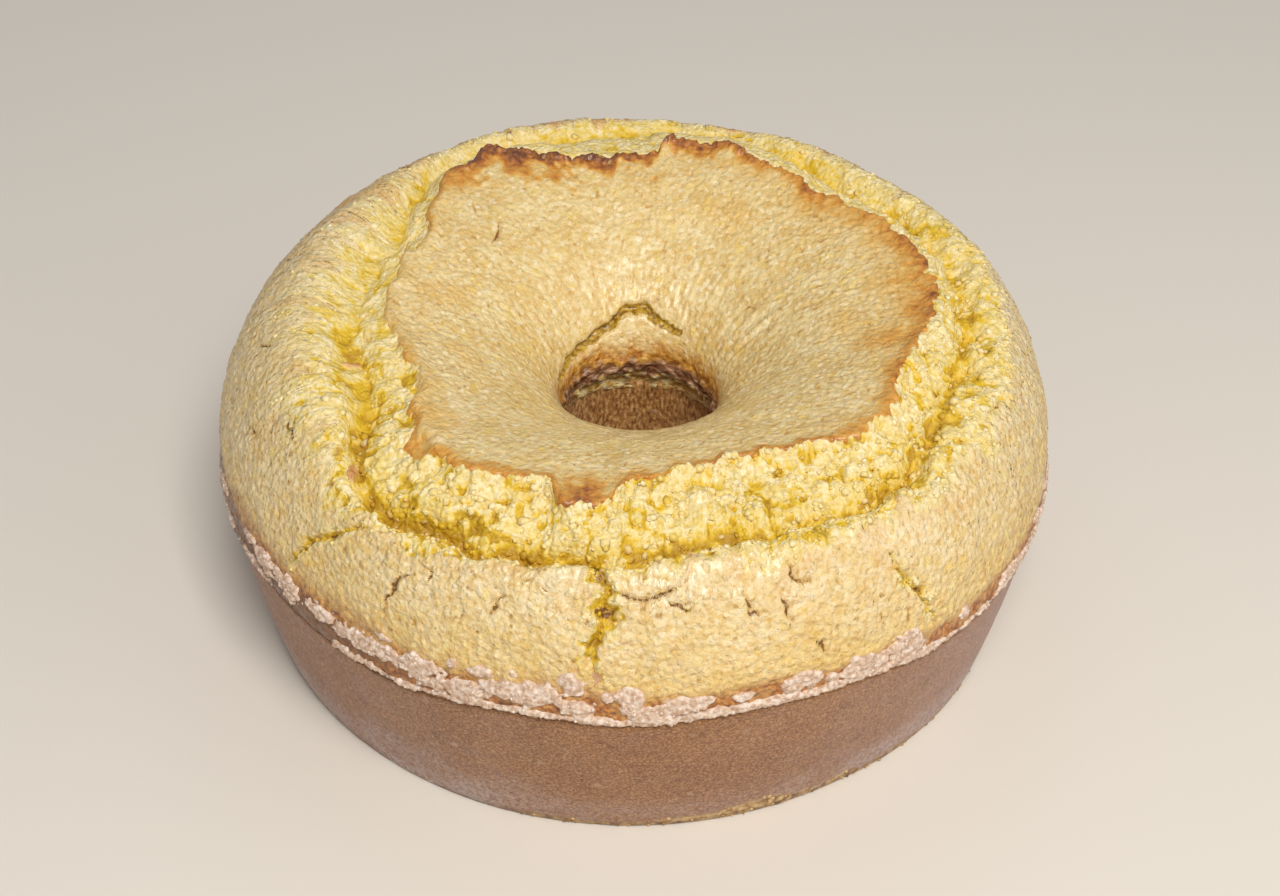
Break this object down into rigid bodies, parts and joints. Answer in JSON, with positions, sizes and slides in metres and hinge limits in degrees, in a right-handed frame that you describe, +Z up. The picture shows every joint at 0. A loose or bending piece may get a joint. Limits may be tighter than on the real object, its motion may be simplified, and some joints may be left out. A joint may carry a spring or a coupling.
{
  "type": "cornmeal cake",
  "caption": "Ring-shaped cornmeal cake from a tube pan: tapered browned wall, high cracked dome with a torn crumb ring round a golden island of crust, and a central hole.",
  "frame": {"origin": "centre of the underside, in the middle of the box round the cake", "axes": "+Z up through the hole, -Y towards the side with the deep front crack, +X to its right"},
  "size_m": [0.2332, 0.2334, 0.1001],
  "materials": {
    "golden_crust": "pale golden baked crust, pebbly, slightly glossy",
    "yellow_crumb": "open, grainy, matte torn crumb",
    "pan_crust": "fine-grained matte brown crust with a bloom of flour",
    "baked_flour": "dry, flaky, pinkish white baked flour"
  },
  "bodies": {
    "root": {"cake": "golden_crust"}
  },
  "joints": []
}
